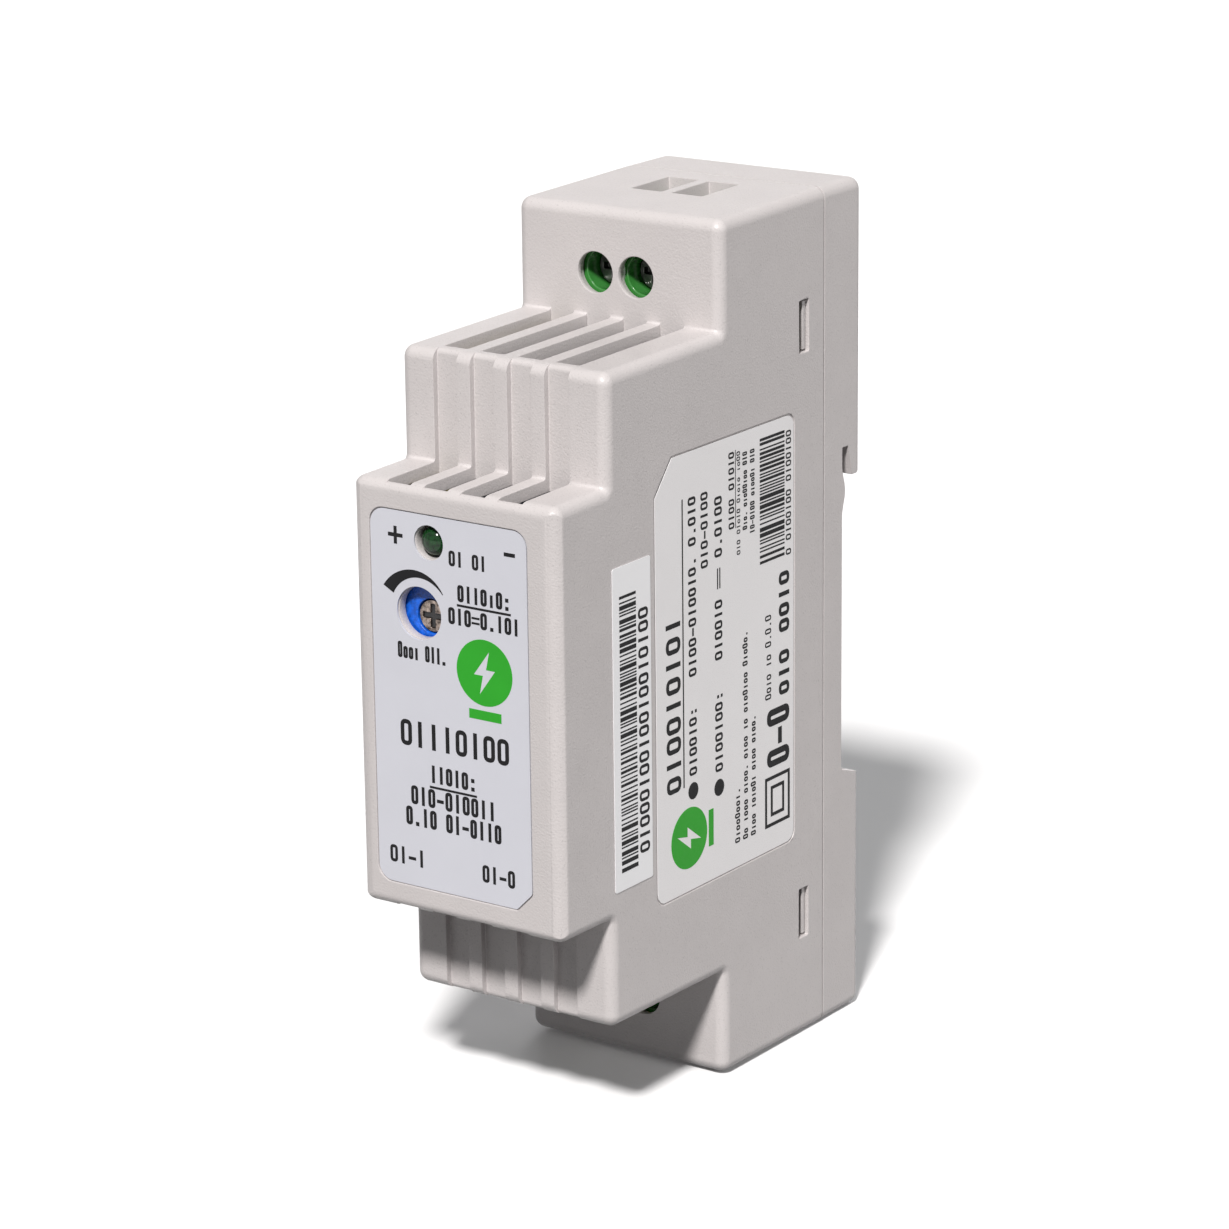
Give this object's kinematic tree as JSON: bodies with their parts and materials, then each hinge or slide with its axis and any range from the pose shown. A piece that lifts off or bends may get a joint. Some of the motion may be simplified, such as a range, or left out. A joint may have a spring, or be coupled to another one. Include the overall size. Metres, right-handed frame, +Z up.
{
  "type": "din rail power supply",
  "caption": "Stepped two-piece DIN rail power supply with screw terminals, an output trimmer, a signal LED and a sprung rail latch.",
  "frame": {"origin": "middle of the rail seat, on the rail's centre line", "axes": "+Z up along the case's height, +Y into the rail, so the front panel faces -Y; +X is the right side seen from the front"},
  "size_m": [0.0255, 0.056, 0.093],
  "materials": {
    "case_plastic": "fine moulded texture",
    "latch_plastic": "moulded",
    "spring_steel": "drawn wire",
    "label_film": "satin printed film",
    "board_laminate": "satin",
    "terminal_plastic": "glossy moulded",
    "zinc_steel": "zinc plated",
    "tinned_brass": "tinned",
    "led_green": "clear tinted",
    "trimmer_blue": "moulded",
    "blue_coating": "dipped",
    "black_coating": "dipped",
    "fuse_coating": "lacquered",
    "film_capacitor": "moulded",
    "ferrite": "sintered",
    "enamelled_copper": "enamelled wire",
    "black_plastic": "moulded",
    "grey_plastic": "moulded",
    "capacitor_sleeve": "sleeved can"
  },
  "bodies": {
    "case": {"front_housing": "case_plastic", "rear_cover": "case_plastic", "latch_spring": "spring_steel", "front_label": "label_film", "side_label": "label_film", "serial_label": "label_film", "main_board": "board_laminate", "power_board": "board_laminate", "output_terminal_block": "terminal_plastic", "input_terminal_block": "terminal_plastic", "output_contact_bar_1": "tinned_brass", "output_contact_bar_2": "tinned_brass", "input_contact_bar_1": "tinned_brass", "input_contact_bar_2": "tinned_brass", "signal_led": "led_green", "trimmer_body": "trimmer_blue", "varistor": "blue_coating", "input_fuse": "fuse_coating", "inrush_thermistor": "black_coating", "x_capacitor": "film_capacitor", "choke_core": "ferrite", "choke_winding_upper": "enamelled_copper", "choke_winding_lower": "enamelled_copper", "bridge_rectifier": "black_plastic", "bulk_capacitor": "capacitor_sleeve", "y_capacitor": "blue_coating", "controller_ic": "black_plastic", "optocoupler": "grey_plastic", "output_diode": "black_plastic", "output_capacitor_1": "capacitor_sleeve", "output_capacitor_2": "capacitor_sleeve", "output_inductor": "grey_plastic", "transformer_core": "ferrite", "transformer_winding": "enamelled_copper", "transformer_bobbin": "black_plastic"},
    "rail_latch": {"rail_latch": "latch_plastic"},
    "trimmer_rotor": {"trimmer_rotor": "zinc_steel"},
    "output_terminal_screw_1": {"output_terminal_screw_1": "zinc_steel"},
    "output_clamp_cage_1": {"output_clamp_cage_1": "zinc_steel"},
    "output_terminal_screw_2": {"output_terminal_screw_2": "zinc_steel"},
    "output_clamp_cage_2": {"output_clamp_cage_2": "zinc_steel"},
    "input_terminal_screw_1": {"input_terminal_screw_1": "zinc_steel"},
    "input_clamp_cage_1": {"input_clamp_cage_1": "zinc_steel"},
    "input_terminal_screw_2": {"input_terminal_screw_2": "zinc_steel"},
    "input_clamp_cage_2": {"input_clamp_cage_2": "zinc_steel"}
  },
  "joints": [
    {"name": "latch_slide", "type": "slide", "parent": "case", "child": "rail_latch", "axis": [0, 0, -1], "range_m": [0, 0.0026], "stiffness_N_per_m": 600, "springref_m": -0.002, "deforming": ["latch_spring"]},
    {"name": "trimmer_turn", "type": "hinge", "parent": "case", "child": "trimmer_rotor", "pos_m": [-0.004, -0.05035, 0.0088], "axis": [0, 1, 0], "range_deg": [-135, 135]},
    {"name": "output_screw_turn_1", "type": "hinge", "parent": "case", "child": "output_terminal_screw_1", "pos_m": [-0.00284, -0.0197, 0.0392], "axis": [0, 1, 0], "range_deg": [0, 2160]},
    {"name": "output_cage_rise_1", "type": "slide", "parent": "case", "child": "output_clamp_cage_1", "axis": [0, -1, 0], "range_m": [0, 0.0027]},
    {"name": "output_screw_turn_2", "type": "hinge", "parent": "case", "child": "output_terminal_screw_2", "pos_m": [0.00224, -0.0197, 0.0392], "axis": [0, 1, 0], "range_deg": [0, 2160]},
    {"name": "output_cage_rise_2", "type": "slide", "parent": "case", "child": "output_clamp_cage_2", "axis": [0, -1, 0], "range_m": [0, 0.0027]},
    {"name": "input_screw_turn_1", "type": "hinge", "parent": "case", "child": "input_terminal_screw_1", "pos_m": [-0.00284, -0.0197, -0.0392], "axis": [0, 1, 0], "range_deg": [0, 2160]},
    {"name": "input_cage_rise_1", "type": "slide", "parent": "case", "child": "input_clamp_cage_1", "axis": [0, -1, 0], "range_m": [0, 0.0027]},
    {"name": "input_screw_turn_2", "type": "hinge", "parent": "case", "child": "input_terminal_screw_2", "pos_m": [0.00224, -0.0197, -0.0392], "axis": [0, 1, 0], "range_deg": [0, 2160]},
    {"name": "input_cage_rise_2", "type": "slide", "parent": "case", "child": "input_clamp_cage_2", "axis": [0, -1, 0], "range_m": [0, 0.0027]}
  ],
  "couplings": [
    {"joint": "output_screw_turn_1", "follows": "output_cage_rise_1", "rad_per_m": 13963},
    {"joint": "output_screw_turn_2", "follows": "output_cage_rise_2", "rad_per_m": 13963},
    {"joint": "input_screw_turn_1", "follows": "input_cage_rise_1", "rad_per_m": 13963},
    {"joint": "input_screw_turn_2", "follows": "input_cage_rise_2", "rad_per_m": 13963}
  ]
}
